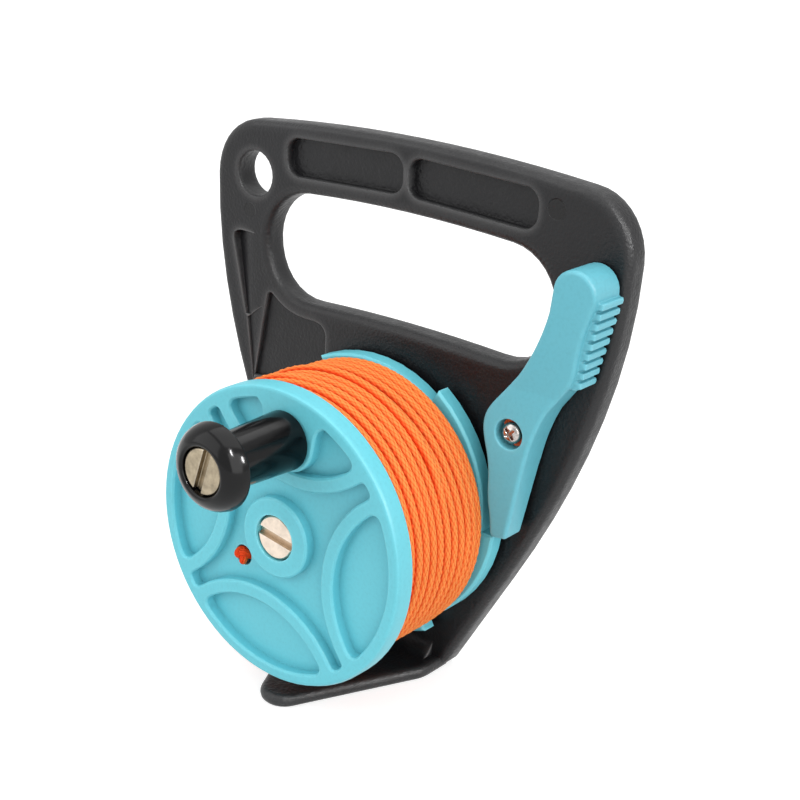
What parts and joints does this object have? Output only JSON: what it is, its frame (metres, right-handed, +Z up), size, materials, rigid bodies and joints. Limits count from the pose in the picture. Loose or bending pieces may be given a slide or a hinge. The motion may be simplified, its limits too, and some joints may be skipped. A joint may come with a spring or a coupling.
{
  "type": "dive reel",
  "caption": "Hand-held dive reel: flat black frame with a hand opening, turquoise spool of orange braided line, crank grip and sprung ratchet stop lever.",
  "frame": {"origin": "on the flat underside of the foot, below the spool axis, in the plane of the frame's front face", "axes": "+Z up along the frame from the foot to the handle, +X to the stop lever's side, -Y along the spool axis toward the crank"},
  "size_m": [0.161, 0.0984, 0.1723],
  "materials": {
    "frame_plastic": "fine satin moulded texture",
    "teal_plastic": "smooth satin",
    "grip_plastic": "high gloss",
    "line_fibre": "braided",
    "nickel_steel": "nickel plated, turned",
    "bush_plastic": "satin",
    "washer_plastic": "smooth",
    "insert_brass": "knurled"
  },
  "bodies": {
    "body": {"frame": "frame_plastic", "axle_bolt": "nickel_steel", "axle_head_washer": "nickel_steel", "axle_sleeve": "nickel_steel", "axle_nut": "nickel_steel", "axle_nut_washer": "nickel_steel", "axle_thrust_washer": "washer_plastic", "lever_screw": "nickel_steel", "lever_bush": "bush_plastic", "lever_insert": "insert_brass"},
    "spool": {"front_flange": "teal_plastic", "ratchet_drum": "teal_plastic", "line_core": "line_fibre", "line_outer_layer": "line_fibre", "line_end_knot": "line_fibre", "crank_screw": "nickel_steel", "crank_sleeve": "nickel_steel", "crank_nut": "nickel_steel"},
    "crank": {"crank_grip": "grip_plastic"},
    "lever": {"stop_lever": "teal_plastic", "lever_spring": "nickel_steel"}
  },
  "joints": [
    {"name": "spool_spin", "type": "hinge", "parent": "body", "child": "spool", "pos_m": [0, -0.03, 0.058], "axis": [0, -1, 0], "continuous": true},
    {"name": "crank_grip_spin", "type": "hinge", "parent": "spool", "child": "crank", "pos_m": [0.00361, -0.07, 0.0912], "axis": [0, -1, 0], "continuous": true},
    {"name": "stop_lever_pivot", "type": "hinge", "parent": "body", "child": "lever", "pos_m": [0.0522, -0.006, 0.0947], "axis": [0, -1, 0], "range_deg": [0, 7], "stiffness_Nm_per_rad": 0.8}
  ]
}
